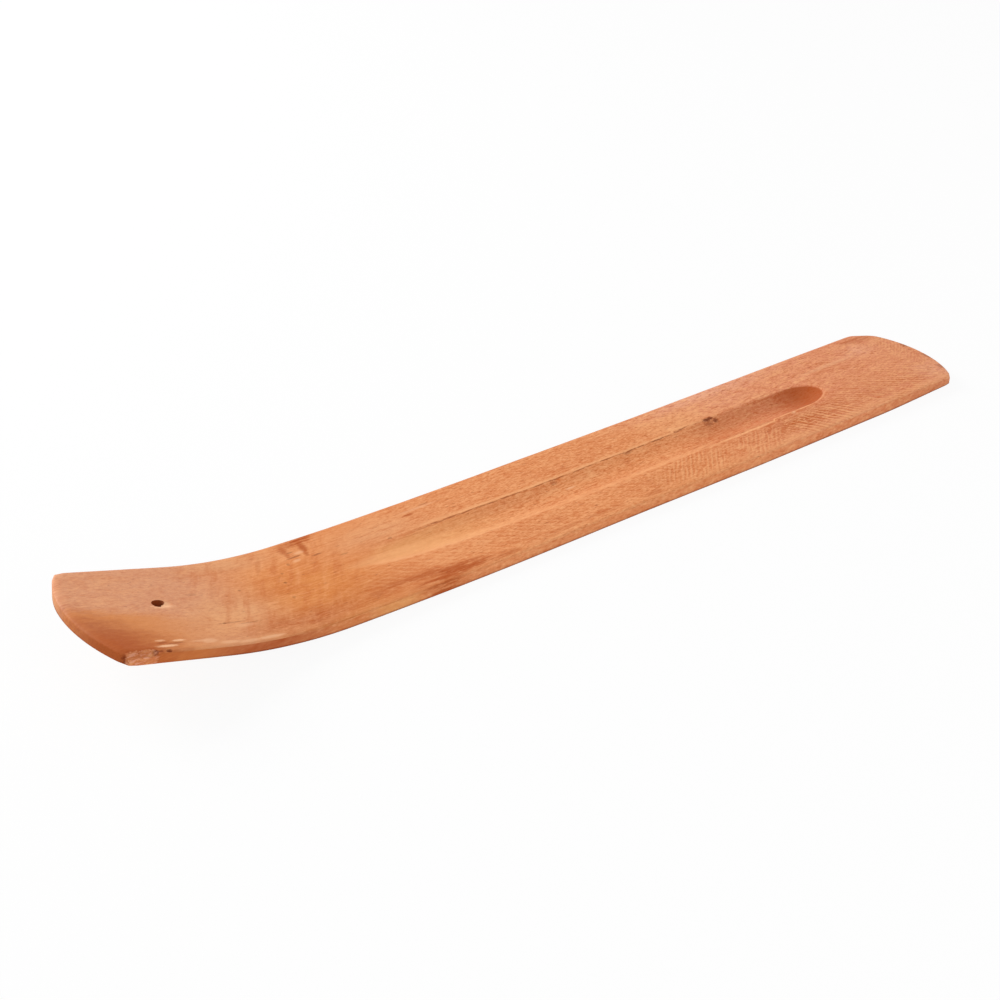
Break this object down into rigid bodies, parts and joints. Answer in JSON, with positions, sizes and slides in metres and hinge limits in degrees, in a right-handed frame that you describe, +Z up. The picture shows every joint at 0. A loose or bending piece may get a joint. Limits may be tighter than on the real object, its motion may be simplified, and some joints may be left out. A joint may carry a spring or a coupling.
{
  "type": "incense stick holder",
  "caption": "Long thin wooden board with a turned-up tip, drilled there for an incense stick, and a shallow trough along its middle that catches the falling ash.",
  "frame": {"origin": "middle of the bottom of the board's box, on the surface that it lies on", "axes": "+X along the board towards its flat tail, -X towards the turned-up tip, +Z up"},
  "size_m": [0.2826, 0.038, 0.0194],
  "materials": {
    "wood": "hand-sanded bare reddish-brown hardwood, semi-matt, worn at the edges"
  },
  "bodies": {
    "root": {"holder_board": "wood"}
  },
  "joints": []
}
